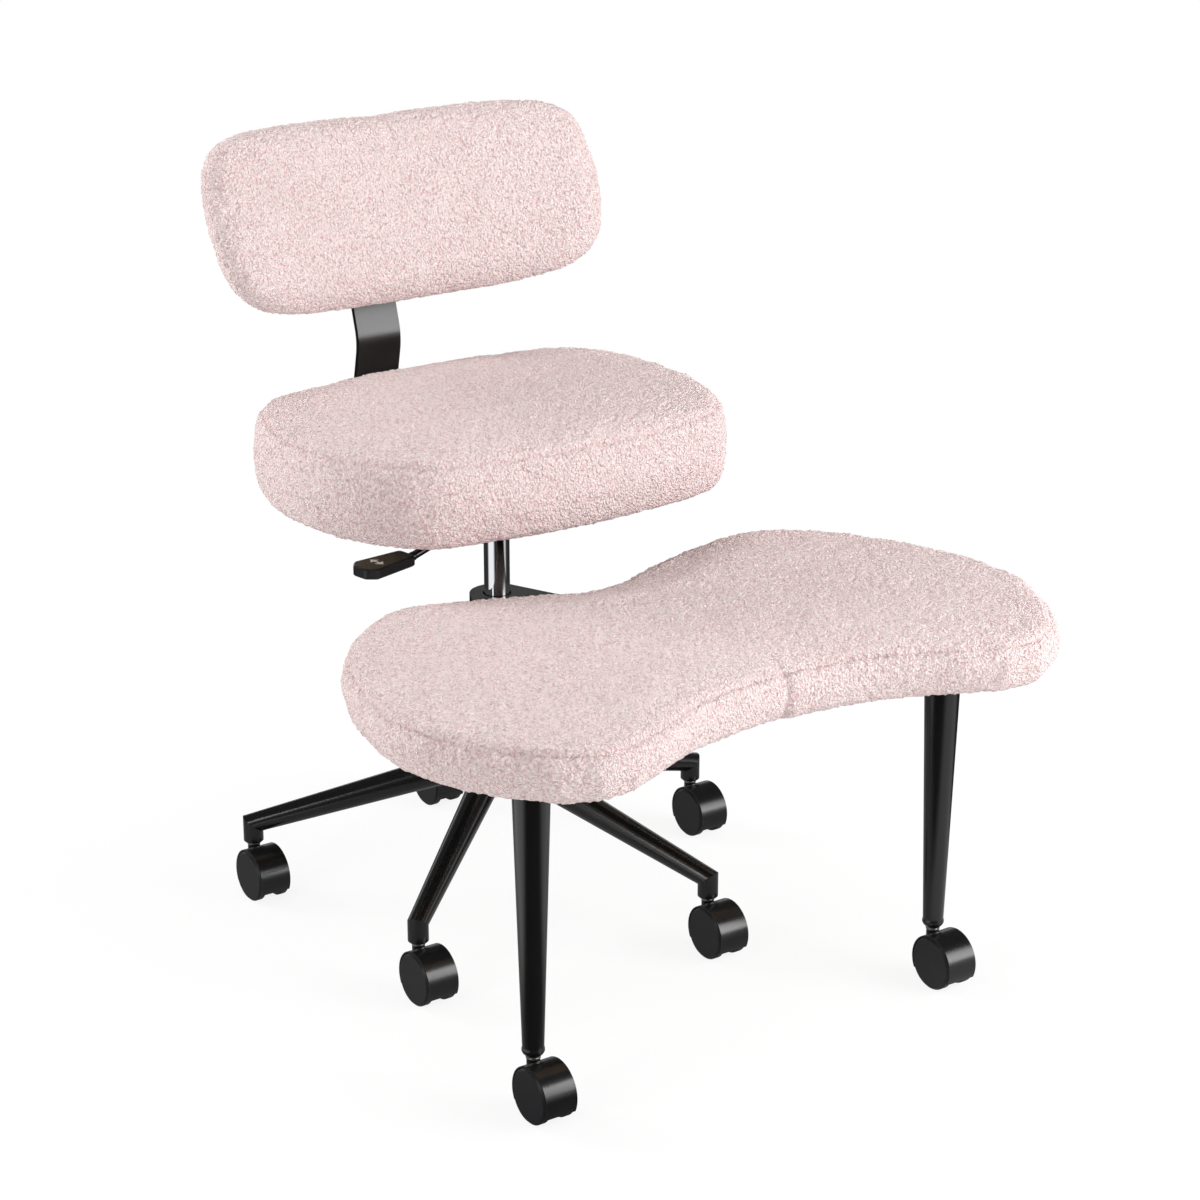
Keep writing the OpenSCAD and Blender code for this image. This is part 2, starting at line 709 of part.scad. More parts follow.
// Screw from below, its head under the level where it is placed
module screw(grip) {
    translate([0, 0, -screw_head_h]) cylinder(h = screw_head_h, d1 = screw_d, d2 = screw_head_d, $fn = soft);
    cylinder(h = grip + screw_in, d = screw_d, $fn = soft);
}
module arm_screws() {
    color(zinc) at_arm_screws() screw(arm_t + arm_packer);
}
module at_leg_screws() {
    for (side = [-1, 1], x = [-leg_screw_at, leg_screw_at], y = [-leg_screw_at, leg_screw_at])
        translate([side * stool_leg_gap / 2 + x, y - stool_leg_y, leg_top_z]) children();
}
module leg_screws() {
    color(zinc) at_leg_screws() screw(leg_plate_t);
}
module stool_board() {
    color(plywood) difference() {
        translate([stool_mid[0], stool_mid[1], stool_board_z]) linear_extrude(height = board_t)
            polygon(inset_ring(stool_ring, board_inset));
        at_arm_screws() cylinder(h = arm_t + arm_packer + screw_in + hand_fit, d = screw_d + running_fit, $fn = soft);
        at_leg_screws() cylinder(h = leg_plate_t + screw_in + hand_fit, d = screw_d + running_fit, $fn = soft);
    }
}
module stool_cushion() {
    color(boucle_pink) translate(stool_mid) pad(stool_ring, pad_stations(stool_z, stool_h,
        stool_board_z + board_t + hand_fit, edge_low, edge_top, side_draw, stool_crown));
}
// Tapered stool leg with a rounded foot, open at its top under the plate
module stool_leg(side) {
    foot_r = stool_leg_foot_d / 2;
    top_r = stool_leg_top_d / 2;
    color(steel_black) translate([side * stool_leg_gap / 2, -stool_leg_y, 0]) difference() {
        union() {
            translate([0, 0, socket_z + foot_h]) cylinder(h = leg_top_z - socket_z - foot_h, r1 = foot_r, r2 = top_r, $fn = fine);
            translate([0, 0, socket_z]) rotate_extrude($fn = fine) polygon([
                [0, 0], [foot_mouth_r, 0], [foot_r - foot_bulge, foot_h / 4], [foot_r + foot_bulge, foot_h / 2],
                [foot_r + foot_bulge, foot_h * 3 / 4], [foot_r, foot_h], [0, foot_h]
            ]);
        }
        translate([0, 0, socket_z + 3 * foot_h]) cylinder(h = leg_top_z - socket_z - 3 * foot_h + over,
            r1 = foot_r - leg_wall, r2 = top_r - leg_wall, $fn = fine);
        stem_bore();
    }
}
module stool_leg_left() {
    stool_leg(-1);
}
module stool_leg_right() {
    stool_leg(1);
}
module leg_plates() {
    color(steel_black) difference() {
        for (side = [-1, 1]) translate([side * stool_leg_gap / 2, -stool_leg_y, leg_top_z])
            rounded_plate([leg_plate_w, leg_plate_w], leg_plate_corner, leg_plate_t);
        at_leg_screws() translate([0, 0, -over])
            cylinder(h = leg_plate_t + 2 * over, d = screw_d + running_fit, $fn = soft);
    }
}

// Seat: plate with a folded box and the taper socket for the gas lift
module at_plate_bolts() {
    for (x = [-plate_bolt[0], plate_bolt[0]], y = [-plate_bolt[1], plate_bolt[1]])
        translate([x, y, plate_z]) children();
}
module seat_plate() {
    color(steel_black) difference() {
        union() {
            translate([0, 0, plate_z]) rounded_plate([plate_l, plate_w], plate_corner, plate_t);
            translate([-box_l / 2, -box_w / 2, box_z]) cube([box_l, box_w, box_h + over]);
            translate([0, 0, taper_z]) cylinder(h = taper_h, r = socket_r, $fn = fine);
        }
        difference() {
            translate([plate_t - box_l / 2, plate_t - box_w / 2, box_z + plate_t])
                cube([box_l - 2 * plate_t, box_w - 2 * plate_t, box_h - plate_t]);
            translate([0, 0, taper_z]) cylinder(h = taper_h, r = socket_r, $fn = fine);
            for (side = [-1, 1]) lever_ear(side);
        }
        translate([0, 0, taper_z - over]) cylinder(h = over, r = cyl_r + seat_fit, $fn = fine);
        translate([0, 0, taper_z]) cylinder(h = taper_h, r1 = cyl_r + seat_fit, r2 = taper_r + seat_fit, $fn = fine);
        translate([0, 0, taper_z + taper_h]) cylinder(h = over, r = taper_r + seat_fit, $fn = fine);
        at_plate_bolts() translate([0, 0, -over])
            cylinder(h = plate_t + 2 * over, d = bolt_d + running_fit, $fn = soft);
        translate([-box_l / 2 - over, pivot[1] - wall_slot_w, pivot[2] - wall_slot_h + lever_d / 2 + 2 * over])
            cube([plate_t + 2 * over, 2 * wall_slot_w, wall_slot_h]);
        translate(pivot) rotate([90, 0, 0])
            cylinder(h = ear_gap + 4 * ear_t, d = pivot_d + 2 * seat_fit, center = true, $fn = soft);
    }
}
// Ear that carries the lever's pivot pin, hanging from the plate
module lever_ear(side) {
    y = pivot[1] + side * (ear_gap + ear_t) / 2;
    translate([pivot[0], y, pivot[2]]) rotate([90, 0, 0]) cylinder(h = ear_t, r = ear_r, center = true, $fn = soft);
    translate([pivot[0] - ear_r, y - ear_t / 2, pivot[2]]) cube([2 * ear_r, ear_t, plate_z + over - pivot[2]]);
}
module lever_pin() {
    color(zinc) translate(pivot) rotate([90, 0, 0]) {
        cylinder(h = ear_gap + 2 * ear_t + 2 * hand_fit, d = pivot_d, center = true, $fn = soft);
        for (side = [-1, 1]) translate([0, 0, side * (ear_gap / 2 + ear_t + hand_fit + pivot_head / 2)])
            cylinder(h = pivot_head, d = pivot_d + 2 * pivot_head, center = true, $fn = soft);
    }
}
// A round bar between two points
module bar_between(a, b, d) {
    v = b - a;
    translate(a) rotate([0, acos(v[2] / norm(v)), atan2(v[1], v[0])]) cylinder(h = norm(v), d = d, $fn = soft);
}
// Round elbow whose poles lie along v, inside the bars that meet there
module lever_elbow(v) {
    translate(lever_knee) rotate([0, acos(v[2] / norm(v)), atan2(v[1], v[0])])
        sphere(d = lever_d + knee_swell, $fn = soft);
}
function paddle_point(s) = lever_knee - [s * cos(lever_turn), s * sin(lever_turn), 0];
module lever_rod() {
    eye_w = ear_gap - 2 * hand_fit;
    color(steel_black) difference() {
        union() {
            bar_between(pivot, lever_knee, lever_d);
            lever_elbow(lever_knee - pivot);
            bar_between(lever_knee, paddle_point(paddle_l - paddle_w / 2), lever_d);
            translate(pivot) rotate([90, 0, 0]) cylinder(h = eye_w, r = ear_r - over, center = true, $fn = soft);
            translate([pivot[0], pivot[1] - eye_w / 2, finger_z]) cube([finger_past - pivot[0], eye_w, finger_t]);
            translate([-finger_w / 2, pivot[1] - eye_w / 2, finger_z])
                cube([finger_w, eye_w / 2 + release_d / 2 - pivot[1], finger_t]);
        }
        translate(pivot) rotate([90, 0, 0])
            cylinder(h = 2 * ear_gap, d = pivot_d + 2 * running_fit, center = true, $fn = soft);
    }
}
module paddle_end(s, w) {
    side = [sin(lever_turn), -cos(lever_turn), 0] * (w / 2 - paddle_t / 2);
    for (q = [-1, 1]) translate(paddle_point(s) + q * side - [0, 0, paddle_t / 2]) {
        cylinder(h = paddle_t, r = paddle_t / 2 - paddle_chamfer, $fn = soft);
        translate([0, 0, paddle_chamfer]) cylinder(h = paddle_t - 2 * paddle_chamfer, r = paddle_t / 2, $fn = soft);
    }
}
module lever_paddle() {
    color(plastic_black) difference() {
        hull() {
            paddle_end(paddle_start + paddle_t / 2, paddle_root_w);
            paddle_end(paddle_l - paddle_t / 2 - paddle_corner, paddle_w);
            paddle_end(paddle_l - paddle_t / 2, paddle_w - 2 * paddle_corner);
        }
        bar_between(lever_knee, paddle_point(paddle_l - paddle_w / 2 + hand_fit), lever_d + 2 * seat_fit);
    }
}
module hex_bolt(d, head_d, head_h, grip) {
    translate([0, 0, -head_h]) cylinder(h = head_h, d = head_d, $fn = 6);
    cylinder(h = grip, d = d, $fn = soft);
}
module seat_bolts() {
    color(zinc) at_plate_bolts() hex_bolt(bolt_d, bolt_head_d, bolt_head_h, plate_t + bolt_in);
}
module at_bar_bolts() {
    for (y = bar_bolt_y) translate([0, y, bar_z - bar_t / 2]) children();
}
module bar_bolts() {
    color(zinc) at_bar_bolts() hex_bolt(bar_bolt_d, bar_bolt_head_d, bar_bolt_head_h, bar_t + bolt_in);
}
module seat_board() {
    color(plywood) difference() {
        translate([seat_mid[0], seat_mid[1], seat_board_z]) linear_extrude(height = board_t)
            polygon(inset_ring(seat_ring, board_inset));
        at_plate_bolts() cylinder(h = plate_t + bolt_in + hand_fit, d = bolt_d + running_fit, $fn = soft);
        at_bar_bolts() cylinder(h = bar_t + bolt_in + hand_fit, d = bar_bolt_d + running_fit, $fn = soft);
    }
}
module seat_cushion() {
    color(boucle_pink) translate(seat_mid) pad(seat_ring, pad_stations(seat_z, seat_h,
        seat_board_z + board_t + hand_fit, seat_edge_low, seat_edge_top, side_draw, seat_crown));
}

// Back bar: flat steel that runs back under the seat, up, and over a knee behind the backrest
// One bend's points at an offset from the centreline; a is the turn and h the heading before it
function bend_side(at, h, a, r, off) = let (s = sign(a), c = at + s * r * [-sin(h), cos(h)]) [
    for (k = [0:bend_steps]) let (q = h + a * k / bend_steps) c + (s * r - off) * [sin(q), -cos(q)]
];
function bar_side(off) = concat(
    [[bar_start, bar_z + off]],
    bend_side(bar_bend_at, 0, bend_a, bend_r, off),
    bend_side(bar_knee_at, bend_a, -knee_a, knee_r, off),
    [bar_end_at - off * bar_rear]
);
module bar_corner(side) {
    translate([side * (bar_w / 2 - bar_end_r), bar_over - bar_end_r, -bar_t - over]) difference() {
        translate([(side - 1) * bar_end_r, 0, 0]) cube([2 * bar_end_r, 2 * bar_end_r, bar_t + 2 * over]);
        translate([0, 0, -over]) cylinder(h = bar_t + 4 * over, r = bar_end_r, $fn = soft);
    }
}
module bracket_cheek(side) {
    inner = (mount_t - weld_in) * back_rear;
    translate([side * (bar_w - cheek_t) / 2, 0, 0]) rotate([90, 0, 90])
        linear_extrude(height = cheek_t, center = true) polygon([
            bar_mark + weld_in * bar_rear - cheek_half * bar_up, bar_mark + weld_in * bar_rear + cheek_half * bar_up,
            back_origin + inner + cheek_half * back_up, back_origin + inner - cheek_half * back_up
        ]);
}
module back_bar() {
    color(steel_black) difference() {
        union() {
            rotate([90, 0, 90]) linear_extrude(height = bar_w, center = true) polygon(concat(
                bar_side(-bar_t / 2), [for (i = [len(bar_side(0)) - 1:-1:0]) bar_side(bar_t / 2)[i]]
            ));
            for (side = [-1, 1]) bracket_cheek(side);
            at_back() translate([0, 0, -mount_t]) rounded_plate(mount_size, mount_corner, mount_t);
        }
        at_bar_bolts() translate([0, 0, -over]) cylinder(h = bar_t + 2 * over, d = bar_bolt_d + running_fit, $fn = soft);
        at_back_bolts() translate([0, 0, -over]) cylinder(h = mount_t + 2 * over, d = bolt_d + running_fit, $fn = soft);
        for (side = [-1, 1]) at_bar_top() bar_corner(side);
    }
}
module at_back_bolts() {
    at_back() for (x = [-back_bolt_at[0], back_bolt_at[0]], y = [-back_bolt_at[1], back_bolt_at[1]])
        translate([x, y, -mount_t]) children();
}
module back_bolts() {
    color(zinc) at_back_bolts() hex_bolt(bolt_d, bolt_head_d, bolt_head_h, mount_t + back_bolt_in);
}
// Moulded plywood board between two equal cylinders, cut to the outline
module back_board() {
    color(plywood) difference() {
        at_back() intersection() {
            linear_extrude(height = back_t) polygon(inset_ring(back_ring, board_inset));
            difference() {
                board_face(2 * back_h, 0);
                board_face(3 * back_h, back_board_t);
            }
        }
        at_back_bolts() cylinder(h = mount_t + back_bolt_in + hand_fit, d = bolt_d + running_fit, $fn = soft);
    }
}
module board_face(width, shift) {
    translate([0, 0, back_curve_r + shift]) rotate([90, 0, 0])
        cylinder(h = width, r = back_curve_r, center = true, $fn = 4 * fine);
}
module back_cushion() {
    ceiling = back_board_t + hand_fit;
    stations = concat(
        [for (s = recess_shares) [board_inset - lip_fit, ceiling, s]],
        pad_stations(board_proud, back_t, ceiling, back_edge_low, back_edge, side_draw, back_crown)
    );
    flat = loft_points(back_ring, stations);
    color(boucle_pink) at_back() polyhedron(points = [for (p = flat) bent(p, back_curve_r)],
        faces = loft_faces(len(back_ring), len(stations)), convexity = 4);
}

base_hub();
base_legs();
base_castor_stems();
lift_tube();
lift_bush();
thrust_bearing();
arm_bush();
lift_rod();
lift_clip();
lift_cylinder();
release_pin();
seat_plate();
lever_pin();
lever_rod();
lever_paddle();
seat_board();
seat_cushion();
seat_bolts();
back_bar();
bar_bolts();
back_board();
back_cushion();
back_bolts();
stool_arm();
arm_screws();
stool_board();
stool_cushion();
stool_leg_left();
stool_leg_right();
leg_plates();
leg_screws();
stool_castor_stems();
for (i = [1:castors]) at_castor(i - 1) {
    castor_hood();
    castor_axle();
    castor_wheel(-1);
    castor_wheel(1);
}
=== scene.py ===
import json
import math

import bmesh
import bpy
import numpy as np
from mathutils import Matrix, Vector, noise
from mathutils.bvhtree import BVHTree


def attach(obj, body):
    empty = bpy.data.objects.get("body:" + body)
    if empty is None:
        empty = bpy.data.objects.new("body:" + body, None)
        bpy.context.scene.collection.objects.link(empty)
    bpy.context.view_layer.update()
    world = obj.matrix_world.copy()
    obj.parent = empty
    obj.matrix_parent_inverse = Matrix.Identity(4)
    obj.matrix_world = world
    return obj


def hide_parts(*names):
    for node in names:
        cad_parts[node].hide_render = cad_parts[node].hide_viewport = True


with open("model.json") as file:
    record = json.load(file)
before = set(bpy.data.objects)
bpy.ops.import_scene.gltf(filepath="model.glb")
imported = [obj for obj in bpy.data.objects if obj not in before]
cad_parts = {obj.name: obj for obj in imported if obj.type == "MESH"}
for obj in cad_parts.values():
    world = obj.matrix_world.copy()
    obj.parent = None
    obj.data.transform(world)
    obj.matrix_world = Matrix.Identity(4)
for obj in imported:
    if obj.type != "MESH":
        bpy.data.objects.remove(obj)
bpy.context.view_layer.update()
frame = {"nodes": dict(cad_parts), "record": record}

scene = bpy.context.scene
print("stage: frame loaded,", len(frame["nodes"]), "pieces from the model")


# the photograph's viewing angle; lengths are in metres and angles in degrees here
cameraView = {
    "place": (-1.67924, -2.62986, 1.45005),
    "azimuth": -34.6,
    "elevation": 19.6,
    "lens": 91.85,
    "sensor": 36.0,
    "nearest": 0.05,
    "farthest": 60.0,
}


def turnTo(holder, direction):
    holder.rotation_mode = "QUATERNION"
    holder.rotation_quaternion = direction.to_track_quat("-Z", "Y")


def turnedCamera(view):
    made = bpy.data.cameras.new("viewCamera")
    made.lens = view["lens"]
    made.sensor_width = view["sensor"]
    made.clip_start = view["nearest"]
    made.clip_end = view["farthest"]
    holder = bpy.data.objects.new("viewCamera", made)
    scene.collection.objects.link(holder)
    a, e = math.radians(view["azimuth"]), math.radians(view["elevation"])
    back = Vector((math.sin(a) * math.cos(e), -math.cos(a) * math.cos(e), math.sin(e)))
    holder.location = Vector(view["place"])
    turnTo(holder, -back)
    scene.camera = holder


turnedCamera(cameraView)


class Wire:
    # a socket that can stand in a sum
    def __init__(self, paint, socket):
        self.paint = paint
        self.socket = socket

    def reckon(self, operation, *others):
        values = dict(enumerate(others))
        return self.paint.node("ShaderNodeMath", {"operation": operation}, values)

    def __add__(self, other):
        return self.reckon("ADD", self, other)

    def __radd__(self, other):
        return self.reckon("ADD", other, self)

    def __sub__(self, other):
        return self.reckon("SUBTRACT", self, other)

    def __rsub__(self, other):
        return self.reckon("SUBTRACT", other, self)

    def __mul__(self, other):
        return self.reckon("MULTIPLY", self, other)

    def __rmul__(self, other):
        return self.reckon("MULTIPLY", other, self)

    def __truediv__(self, other):
        return self.reckon("DIVIDE", self, other)

    def __rtruediv__(self, other):
        return self.reckon("DIVIDE", other, self)

    def __pow__(self, other):
        return self.reckon("POWER", self, other)

    def atMost(self, other):
        return self.reckon("MINIMUM", self, other)

    def atLeast(self, other):
        return self.reckon("MAXIMUM", self, other)


class Paint:
    # the nodes of one material or world
    def __init__(self, owner):
        owner.use_nodes = True
        self.owner = owner
        self.tree = owner.node_tree
        self.tree.nodes.clear()

    def node(self, kind, settings=None, inputs=None, output=0):
        made = self.tree.nodes.new(kind)
        for key, value in (settings or {}).items():
            if key == "stops":
                fillRamp(made.color_ramp, value)
            else:
                setattr(made, key, value)
        for key, value in (inputs or {}).items():
            if isinstance(value, Wire):
                self.tree.links.new(value.socket, made.inputs[key])
            else:
                made.inputs[key].default_value = value
        return Wire(self, made.outputs[output]) if len(made.outputs) else None

    def place(self):
        return self.node("ShaderNodeTexCoord", output="Object")

    def axes(self, vector):
        parts = self.node("ShaderNodeSeparateXYZ", None, {0: vector}).socket.node
        return [Wire(self, parts.outputs[axis]) for axis in "XYZ"]

    def cloud(self, place, scale, detail, output="Fac", **others):
        values = {"Vector": place, "Scale": scale, "Detail": detail, **others}
        return self.node("ShaderNodeTexNoise", None, values, output)

    def mixColours(self, share, first, second):
        return self.node("ShaderNodeMix", {"data_type": "RGBA"}, {0: share, 6: first, 7: second}, output=2)

    def mixShaders(self, share, first, second):
        return self.node("ShaderNodeMixShader", None, {0: share, 1: first, 2: second})

    def seenBy(self, ray):
        return self.node("ShaderNodeLightPath", output=ray)

    def bump(self, height, strength, distance):
        return self.node("ShaderNodeBump", None, {"Height": height, "Strength": strength, "Distance": distance})

    def finish(self, values):
        surface = self.node("ShaderNodeBsdfPrincipled", None, values)
        self.node("ShaderNodeOutputMaterial", None, {"Surface": surface})
        return self.owner


def fillRamp(ramp, stops):
    while len(ramp.elements) > 1:
        ramp.elements.remove(ramp.elements[-1])
    ramp.elements[0].position = stops[0][0]
    ramp.elements[0].color = stops[0][1]
    for position, colour in stops[1:]:
        ramp.elements.new(position).color = colour


def rgb(red, green, blue):
    return (red, green, blue, 1.0)


def grey(shade):
    return rgb(shade, shade, shade)


def times(factor, colour):
    return tuple(factor * part for part in colour[:3]) + (1.0,)


def clipped(wire):
    return wire.atLeast(0.0).atMost(1.0)


# painted steel and moulded plastics; spread is how far the roughness wanders, peel the orange peel's scale
blackSteel = {"colour": rgb(0.004, 0.004, 0.0042), "rough": 0.2, "spread": 0.05, "peel": 700.0,
              "shine": 0.5, "coat": 0.35}
barSteel = {"colour": rgb(0.003, 0.003, 0.0032), "rough": 0.24, "spread": 0.04, "peel": 700.0,
            "shine": 0.43, "coat": 0.0}
blackPlastic = {"colour": rgb(0.005, 0.005, 0.0054), "rough": 0.25, "spread": 0.03, "peel": 900.0,
                "shine": 0.5, "coat": 0.0}
wheelPlastic = {"colour": rgb(0.009, 0.0092, 0.0105), "rough": 0.4, "spread": 0.04, "peel": 900.0,
                "shine": 0.3, "coat": 0.0}
paddlePlastic = {"colour": rgb(0.008, 0.008, 0.0085), "rough": 0.36, "spread": 0.05, "peel": 700.0,
                 "shine": 0.4, "coat": 0.0}
bushPlastic = {"colour": rgb(0.5, 0.5, 0.47), "rough": 0.42, "spread": 0.05, "peel": 600.0,
               "shine": 0.5, "coat": 0.0}
mouldedSurface = {
    "patches": 26.0,         # broad patches to the metre, paler and rougher by turns
    "patchShare": 0.6,
    "paler": 1.7,
    "peelRough": 0.03,
    "peelStrength": 0.04,
    "peelDepth": 0.0004,
    "coatRough": 0.8,        # the coat's roughness, as a share of the finish's own
}


def mouldedFinish(name, looks, surface=mouldedSurface):
    paint = Paint(bpy.data.materials.new(name))
    place = paint.place()
    patches = paint.cloud(place, surface["patches"], 4.0, Roughness=0.6)
    peel = paint.cloud(place, looks["peel"], 2.0)
    roughness = looks["rough"] + (patches - 0.5) * looks["spread"] + (peel - 0.5) * surface["peelRough"]
    return paint.finish({
        "Base Color": paint.mixColours(patches * surface["patchShare"], looks["colour"],
                                       times(surface["paler"], looks["colour"])),
        "Roughness": roughness,
        "Specular IOR Level": looks["shine"],
        "Coat Weight": looks["coat"],
        "Coat Roughness": looks["rough"] * surface["coatRough"],
        "Normal": paint.bump(peel, surface["peelStrength"], surface["peelDepth"]),
    })


# bare metals; brushed stretches the grain along the piece's height
chrome = {"colour": rgb(0.9, 0.91, 0.93), "rough": 0.08, "brushed": 1.0}
zinc = {"colour": rgb(0.52, 0.52, 0.5), "rough": 0.36, "brushed": 0.3}
metalSurface = {"grain": 300.0, "smears": 18.0, "duller": 0.86, "wander": 0.5, "grainStrength": 0.03,
                "grainDepth": 0.0003}


def metalFinish(name, looks, surface=metalSurface):
    paint = Paint(bpy.data.materials.new(name))
    place = paint.place()
    stretched = paint.node("ShaderNodeMapping", None, {"Vector": place, "Scale": (1.0, 1.0, looks["brushed"])})
    grain = paint.cloud(stretched, surface["grain"], 3.0)
    smear = paint.cloud(place, surface["smears"], 3.0)
    wander = looks["rough"] * surface["wander"]
    return paint.finish({
        "Base Color": paint.mixColours(smear, times(surface["duller"], looks["colour"]), looks["colour"]),
        "Roughness": looks["rough"] + (smear - 0.5) * wander + (grain - 0.5) * wander,
        "Metallic": 1.0,
        "Normal": paint.bump(grain, surface["grainStrength"], surface["grainDepth"]),
    })


plywood = {
    "dark": rgb(0.30, 0.185, 0.095),
    "middle": rgb(0.50, 0.34, 0.19),
    "pale": rgb(0.64, 0.47, 0.29),
    "stretch": (3.0, 42.0, 42.0),   # the grain runs from side to side
    "plies": 160.0,
    "plyShare": 0.15,
    "rough": 0.62,
    "spread": 0.2,
    "grainStrength": 0.15,
    "grainDepth": 0.0006,
}


def plywoodFinish(looks):
    paint = Paint(bpy.data.materials.new("plywood"))
    place = paint.place()
    long = paint.node("ShaderNodeMapping", None, {"Vector": place, "Scale": looks["stretch"]})
    grain = paint.cloud(long, 3.0, 7.0, Roughness=0.62, Distortion=0.8)
    plies = paint.node("ShaderNodeTexWave", {"bands_direction": "Z"},
                       {"Vector": place, "Scale": looks["plies"], "Distortion": 0.8, "Detail": 1.0}, output="Fac")
    stops = [(0.25, looks["dark"]), (0.5, looks["middle"]), (0.75, looks["pale"])]
    figure = grain * (1.0 - looks["plyShare"]) + plies * looks["plyShare"]
    return paint.finish({
        "Base Color": paint.node("ShaderNodeValToRGB", {"stops": stops}, {"Fac": figure}),
        "Roughness": looks["rough"] + (grain - 0.5) * looks["spread"],
        "Normal": paint.bump(grain, looks["grainStrength"], looks["grainDepth"]),
    })


# the boucle's curls carry painted shade in the hollows between them and a painted highlight on their crowns, over
# the yarn's own pink
boucle = {
    "paintedHollowShade": rgb(0.75, 0.505, 0.495),
    "body": rgb(0.885, 0.715, 0.70),
    "tip": rgb(0.95, 0.82, 0.81),
    "curl": 400.0,        # curls to the metre
    "curlDepth": 1.25,
    "wander": 0.0034,     # how far their outlines stray
    "wanderScale": 0.8,
    "fluff": 1300.0,
    "fluffRise": 0.35,
    "depth": 0.0032,
    "patches": 9.0,
    "patchShare": 0.16,
    "paintedSeamShade": 0.3,     # how much painted shade, in the hollows' shade colour, lies in a seam
    "rough": 0.88,
    "shine": 0.18,
    "sheen": 0.25,
    "sheenRough": 0.6,
    "sheenTint": rgb(1.0, 0.93, 0.92),
}


def boucleFinish(looks):
    paint = Paint(bpy.data.materials.new("pinkBoucle"))
    place = paint.place()
    wander = paint.cloud(place, looks["curl"] * looks["wanderScale"], 2.0, output="Color")
    shifted = paint.node("ShaderNodeVectorMath", {"operation": "MULTIPLY_ADD"},
                         {0: wander, 1: (looks["wander"],) * 3, 2: place})
    curls = paint.node("ShaderNodeTexVoronoi", {"feature": "SMOOTH_F1"},
                       {"Vector": shifted, "Scale": looks["curl"], "Smoothness": 0.35, "Randomness": 1.0},
                       output="Distance")
    fluff = paint.cloud(place, looks["fluff"], 2.0)
    patches = paint.cloud(place, looks["patches"], 3.0)
    height = 1.0 - curls * looks["curlDepth"] + (fluff - 0.5) * looks["fluffRise"]
    # the curls' height paints shade into the hollows and highlight onto the crowns; the patches are random tone
    stops = [(0.0, looks["paintedHollowShade"]), (0.27, looks["body"]), (0.56, looks["tip"])]
    yarnToneAndPaintedShading = paint.node("ShaderNodeValToRGB", {"stops": stops},
                      {"Fac": height * 0.9 + (patches - 0.5) * looks["patchShare"]})
    # the seam grooves' mask, kept as crease, paints shade into the cloth along the seams
    crease = paint.node("ShaderNodeAttribute", {"attribute_name": "crease"}, output="Fac")
    return paint.finish({
        "Base Color": paint.mixColours(crease * looks["paintedSeamShade"], yarnToneAndPaintedShading, looks["paintedHollowShade"]),
        "Roughness": looks["rough"] + (fluff - 0.5) * 0.1,
        "Specular IOR Level": looks["shine"],
        "Sheen Weight": looks["sheen"],
        "Sheen Roughness": looks["sheenRough"],
        "Sheen Tint": looks["sheenTint"],
        "Normal": paint.bump(height, 1.0, looks["depth"]),
    })


# one finish for each material slot of the model, and two that single pieces have for themselves
slotFinishes = {
    "black_steel": mouldedFinish("blackSteel", blackSteel),
    "black_plastic": mouldedFinish("blackPlastic", blackPlastic),
    "wheel_plastic": mouldedFinish("wheelPlastic", wheelPlastic),
    "chrome_tube": metalFinish("chromeTube", chrome),
    "zinc_steel": metalFinish("zincSteel", zinc),
    "bush_plastic": mouldedFinish("bushPlastic", bushPlastic),
    "plywood": plywoodFinish(plywood),
    "pink_boucle": boucleFinish(boucle),
}
ownFinishes = {
    "lever_paddle": mouldedFinish("paddlePlastic", paddlePlastic),
    "back_bar": mouldedFinish("barSteel", barSteel),
}

slotOf = {entry["node"]: entry["material_slot"] for entry in frame["record"]["subparts"]}
for name, held in frame["nodes"].items():
    held.data.materials.clear()
    held.data.materials.append(ownFinishes.get(name) or slotFinishes[slotOf[name]])
print("stage: finishes laid on")


# the cushions are the model's own forms, drawn in a little, puffed as cloth, sewn and then curled
cushions = {
    "seatCushion": {
        "node": "seat_cushion", "board": "seat_board", "body": "seat",
        "voxel": 0.005, "under": 0.0022, "swell": 0.005, "fill": 0.9, "seed": 11, "topSewn": True,
    },
    "backCushion": {
        "node": "back_cushion", "board": "back_board", "body": "seat",
        "voxel": 0.0045, "under": 0.0022, "swell": 0.005, "fill": 0.85, "seed": 23, "topSewn": False,
        # the middle seam over the top edge, and the wider crease that it pulls in the front
        "middleSeam": {"reach": 0.085, "depth": 0.002, "width": 0.004, "crease": 0.0008, "creaseWidth": 0.022},
    },
    "stoolCushion": {
        "node": "stool_cushion", "board": "stool_board", "body": "stool",
        "voxel": 0.0056, "under": 0.0022, "swell": 0.005, "fill": 0.9, "seed": 37, "topSewn": True,
        # the side band's seam in the middle of the front waist, its right edge laid over the left
        "frontSeam": {"middle": 0.004, "front": -0.44, "frontFade": 0.02, "top": 0.421, "topFade": 0.012,
                      "depth": 0.0028, "width": 0.0035, "lap": 0.0014, "lapAside": 0.014, "lapWidth": 0.011},
        # the lever sweeps low over the back edge of this cushion when the seat turns
        "room": {"within": 0.212, "fade": 0.06, "drop": 0.0058},
    },
}
# the seam where the top cloth meets the side band: how upright the cloth is there, and the groove that it pulls
topSeam = {"upright": 0.68, "spread": 0.12, "depth": 0.0022, "welt": 0.0006, "weltAside": 2.0}
clothRun = {
    "pressure": 4.0,
    "frames": 20,
    "quality": 4,
    "mass": 0.3,
    "stiffness": 12.0,
    "nearBoard": 0.005,    # cloth this near to its board is held
}
curlSizes = {
    "size": 0.005,
    "rise": 0.0036,
    "lump": 0.0009,
    "lumpScales": (26.0, 61.0),
    "clearOfBoard": 0.008,  # the curls grow to their full rise over this distance from the board
}
boardReach = 0.02           # how far from a board its nearness is measured


